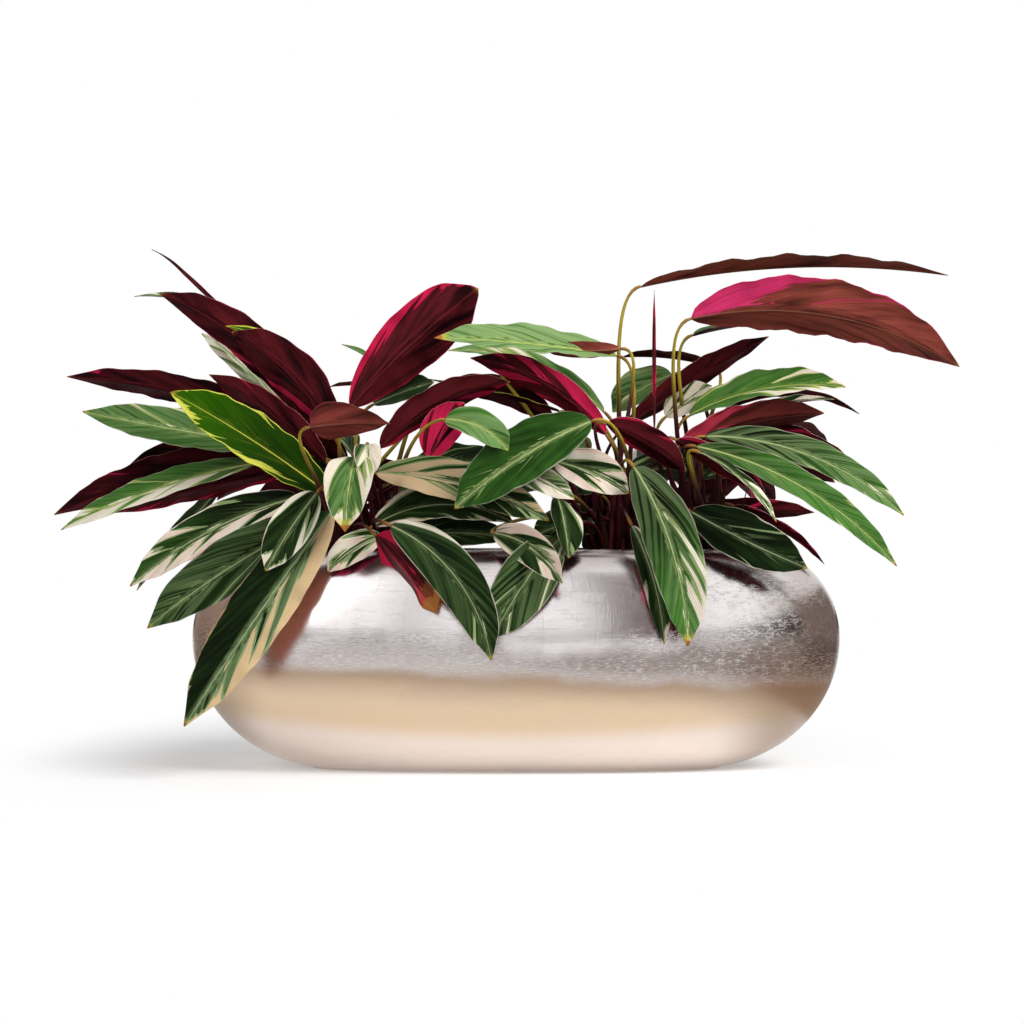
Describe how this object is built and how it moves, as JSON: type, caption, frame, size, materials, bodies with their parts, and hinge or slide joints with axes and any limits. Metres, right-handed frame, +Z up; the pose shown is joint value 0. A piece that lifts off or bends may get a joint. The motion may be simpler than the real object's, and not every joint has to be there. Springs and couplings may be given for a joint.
{
  "type": "potted stromanthe",
  "caption": "Variegated house plant with green, cream and maroon lance-shaped leaves on slender stalks, in a long oval silver-leafed planter.",
  "frame": {"origin": "middle of the planter's foot, on the surface it stands on", "axes": "+Z up, +X along the planter to the right seen from the front, -Y to the front"},
  "size_m": [1.1103, 0.4566, 0.6519],
  "materials": {
    "silver_leaf": "satin",
    "potting_soil": "matte",
    "leaf_green": "satin",
    "leaf_maroon": "satin"
  },
  "bodies": {
    "root": {"planter": "silver_leaf", "potting_soil": "potting_soil", "leaf_left_01": "leaf_maroon", "leaf_left_02": "leaf_maroon", "leaf_left_03": "leaf_green", "leaf_left_04": "leaf_green", "leaf_left_05": "leaf_green", "leaf_left_06": "leaf_maroon", "leaf_left_07": "leaf_maroon", "leaf_left_08": "leaf_green", "leaf_left_09": "leaf_green", "leaf_left_10": "leaf_maroon", "leaf_left_11": "leaf_maroon", "leaf_left_12": "leaf_green", "leaf_left_13": "leaf_maroon", "leaf_left_14": "leaf_green", "leaf_left_15": "leaf_green", "leaf_left_16": "leaf_green", "leaf_left_17": "leaf_green", "leaf_left_18": "leaf_green", "leaf_left_19": "leaf_green", "leaf_left_20": "leaf_maroon", "leaf_left_21": "leaf_maroon", "leaf_left_22": "leaf_maroon", "leaf_left_23": "leaf_green", "leaf_left_24": "leaf_green", "leaf_left_25": "leaf_green", "leaf_left_26": "leaf_green", "leaf_left_27": "leaf_maroon", "leaf_middle_01": "leaf_green", "leaf_middle_02": "leaf_maroon", "leaf_middle_03": "leaf_green", "leaf_middle_04": "leaf_green", "leaf_middle_05": "leaf_green", "leaf_middle_06": "leaf_green", "leaf_middle_07": "leaf_maroon", "leaf_middle_08": "leaf_green", "leaf_middle_09": "leaf_maroon", "leaf_middle_10": "leaf_green", "leaf_middle_11": "leaf_maroon", "leaf_middle_12": "leaf_maroon", "leaf_middle_13": "leaf_green", "leaf_middle_14": "leaf_green", "leaf_right_13": "leaf_maroon", "leaf_right_01": "leaf_green", "leaf_right_02": "leaf_green", "leaf_right_03": "leaf_maroon", "leaf_right_04": "leaf_green", "leaf_right_05": "leaf_green", "leaf_right_06": "leaf_maroon", "leaf_right_07": "leaf_green", "leaf_right_08": "leaf_green", "leaf_right_09": "leaf_maroon", "leaf_right_10": "leaf_maroon", "leaf_right_12": "leaf_maroon", "leaf_left_28": "leaf_green", "leaf_left_29": "leaf_green", "leaf_middle_15": "leaf_green", "leaf_right_11": "leaf_green"}
  },
  "joints": []
}
